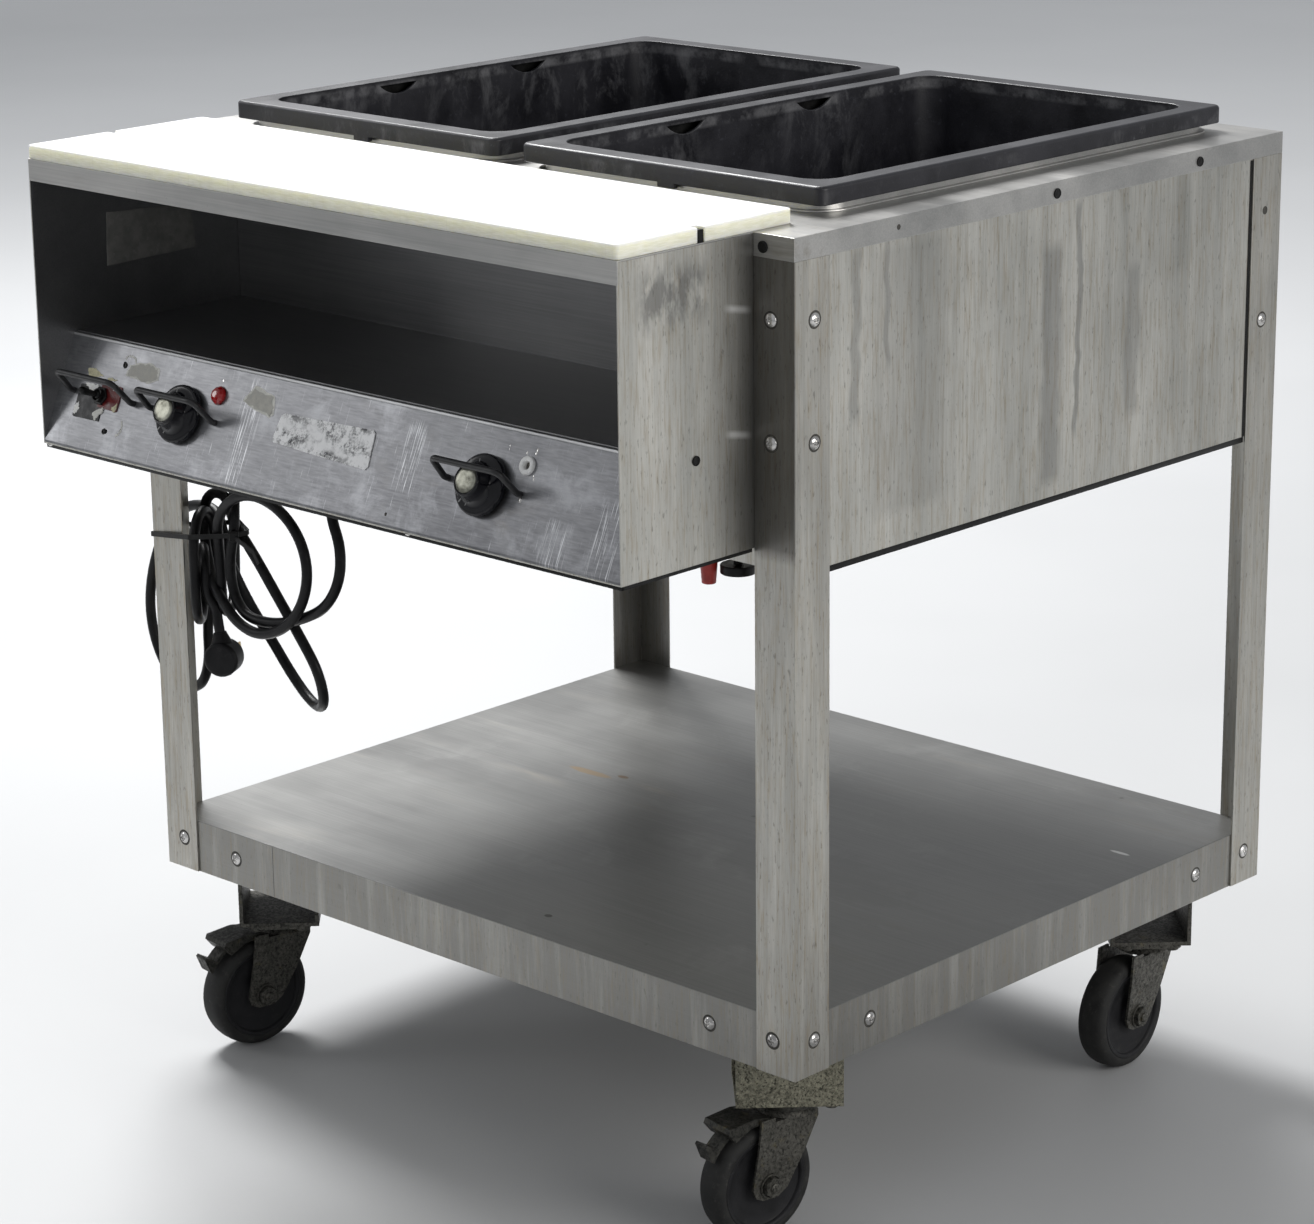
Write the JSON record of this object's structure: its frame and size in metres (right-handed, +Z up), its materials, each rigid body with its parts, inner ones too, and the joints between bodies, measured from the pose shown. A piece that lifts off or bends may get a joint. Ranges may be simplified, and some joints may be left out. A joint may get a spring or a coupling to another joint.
{
  "type": "steam table unit",
  "caption": "Free-standing electric steam table: open food wells, cutting board, storage cubby and control box on a steel frame with swivel casters.",
  "frame": {"origin": "on the floor under the middle of the unit", "axes": "+Z up, -Y towards the cook's side with the controls and the cutting board, +X to the right seen from that side"},
  "size_m": [0.8993, 0.8358, 0.9205],
  "materials": {
    "frame_steel": "brushed, worn",
    "body_steel": "brushed, streaked",
    "top_steel": "brushed, dimpled",
    "panel_steel": "brushed, scratched",
    "zinc_plate": "zinc plated, tarnished",
    "wheel_rubber": "matt, scuffed",
    "well_resin": "satin moulded, chalky",
    "board_plastic": "satin, knife-scored",
    "knob_plastic": "gloss",
    "bright_metal": "polished",
    "black_wire": "satin, chipped",
    "machined_steel": "machined",
    "lens_red": "gloss, faceted",
    "ring_white": "gloss",
    "plate_black": "gloss",
    "plate_white": "worn paint",
    "label_grey": "blank, faded",
    "black_plastic": "satin",
    "red_plastic": "satin",
    "cord_rubber": "satin",
    "brass_pins": "plated",
    "wire_cover": "satin",
    "reflector_aluminium": "bright",
    "element_sheath": "oxidised"
  },
  "bodies": {
    "frame": {"board_posts": "bright_metal", "bottom_pan": "body_steel", "box_bottom": "body_steel", "box_sides": "body_steel", "cable_tie": "black_plastic", "caster_brackets": "zinc_plate", "caster_plates": "zinc_plate", "control_guards": "black_wire", "control_panel": "panel_steel", "cord_hank": "cord_rubber", "cord_plug": "cord_rubber", "cord_strain_relief": "cord_rubber", "element_pans": "reflector_aluminium", "frame_screws": "bright_metal", "heating_elements": "element_sheath", "leg_front_left": "frame_steel", "leg_front_right": "frame_steel", "leg_rear_left": "frame_steel", "leg_rear_right": "frame_steel", "lower_shelf": "frame_steel", "name_plate": "plate_white", "pilot_lamp_red": "lens_red", "pilot_lamp_white": "ring_white", "plug_buttons": "black_plastic", "plug_pins": "brass_pins", "power_cord": "cord_rubber", "power_switch": "machined_steel", "rating_label": "label_grey", "rear_panel": "body_steel", "side_panels": "body_steel", "storage_tray": "body_steel", "switch_plate": "plate_black", "terminal_block": "black_plastic", "thermostats": "black_plastic", "underside_cap_black": "black_plastic", "underside_cap_red": "red_plastic", "well_collars": "top_steel", "well_left": "well_resin", "well_right": "well_resin", "wiring": "wire_cover", "work_shelf": "top_steel", "worktop": "top_steel"},
    "fork_front_left": {"fork_front_left": "zinc_plate"},
    "wheel_front_left": {"wheel_front_left": "wheel_rubber"},
    "fork_front_right": {"fork_front_right": "zinc_plate"},
    "wheel_front_right": {"wheel_front_right": "wheel_rubber"},
    "fork_rear_left": {"fork_rear_left": "zinc_plate"},
    "wheel_rear_left": {"wheel_rear_left": "wheel_rubber"},
    "fork_rear_right": {"fork_rear_right": "zinc_plate"},
    "wheel_rear_right": {"wheel_rear_right": "wheel_rubber"},
    "brake_pedal_front_left": {"brake_pedal_front_left": "zinc_plate"},
    "brake_pedal_front_right": {"brake_pedal_front_right": "zinc_plate"},
    "knob_left": {"knob_left": "knob_plastic", "knob_cap_left": "bright_metal", "control_shaft_left": "machined_steel"},
    "knob_right": {"knob_right": "knob_plastic", "knob_cap_right": "bright_metal", "control_shaft_right": "machined_steel"},
    "switch_lever": {"switch_lever": "bright_metal"},
    "cutting_board": {"cutting_board": "board_plastic"}
  },
  "joints": [
    {"name": "swivel_front_left", "type": "hinge", "parent": "frame", "child": "fork_front_left", "pos_m": [-0.33, -0.181, 0.112], "axis": [0, 0, 1], "continuous": true},
    {"name": "roll_front_left", "type": "hinge", "parent": "fork_front_left", "child": "wheel_front_left", "pos_m": [-0.33501, -0.21665, 0.054], "axis": [0.9903, -0.1392, 0], "continuous": true},
    {"name": "swivel_front_right", "type": "hinge", "parent": "frame", "child": "fork_front_right", "pos_m": [0.33, -0.181, 0.112], "axis": [0, 0, 1], "continuous": true},
    {"name": "roll_front_right", "type": "hinge", "parent": "fork_front_right", "child": "wheel_front_right", "pos_m": [0.32437, -0.21656, 0.054], "axis": [0.9877, -0.1564, 0], "continuous": true},
    {"name": "swivel_rear_left", "type": "hinge", "parent": "frame", "child": "fork_rear_left", "pos_m": [-0.33, 0.337, 0.112], "axis": [0, 0, 1], "continuous": true},
    {"name": "roll_rear_left", "type": "hinge", "parent": "fork_rear_left", "child": "wheel_rear_left", "pos_m": [-0.32437, 0.30144, 0.054], "axis": [0.9877, 0.1564, 0], "continuous": true},
    {"name": "swivel_rear_right", "type": "hinge", "parent": "frame", "child": "fork_rear_right", "pos_m": [0.33, 0.337, 0.112], "axis": [0, 0, 1], "continuous": true},
    {"name": "roll_rear_right", "type": "hinge", "parent": "fork_rear_right", "child": "wheel_rear_right", "pos_m": [0.33126, 0.30102, 0.054], "axis": [0.9994, 0.0349, 0], "continuous": true},
    {"name": "brake_front_left", "type": "hinge", "parent": "fork_front_left", "child": "brake_pedal_front_left", "pos_m": [-0.33515, -0.21764, 0.1136], "axis": [0.9903, -0.1392, 0], "range_deg": [0, 5]},
    {"name": "brake_front_right", "type": "hinge", "parent": "fork_front_right", "child": "brake_pedal_front_right", "pos_m": [0.32421, -0.21754, 0.1136], "axis": [0.9877, -0.1564, 0], "range_deg": [0, 5]},
    {"name": "turn_knob_left", "type": "hinge", "parent": "frame", "child": "knob_left", "pos_m": [-0.19, -0.39316, 0.68609], "axis": [0, -0.9116, 0.4112], "range_deg": [-300, 0]},
    {"name": "turn_knob_right", "type": "hinge", "parent": "frame", "child": "knob_right", "pos_m": [0.19, -0.39316, 0.68609], "axis": [0, -0.9116, 0.4112], "range_deg": [-300, 0]},
    {"name": "throw_switch", "type": "hinge", "parent": "frame", "child": "switch_lever", "pos_m": [-0.301, -0.39681, 0.68773], "axis": [0, 0.4112, 0.9116], "range_deg": [0, 24]},
    {"name": "lift_board", "type": "slide", "parent": "frame", "child": "cutting_board", "axis": [0, 0, 1], "range_m": [0, 0.15]}
  ]
}
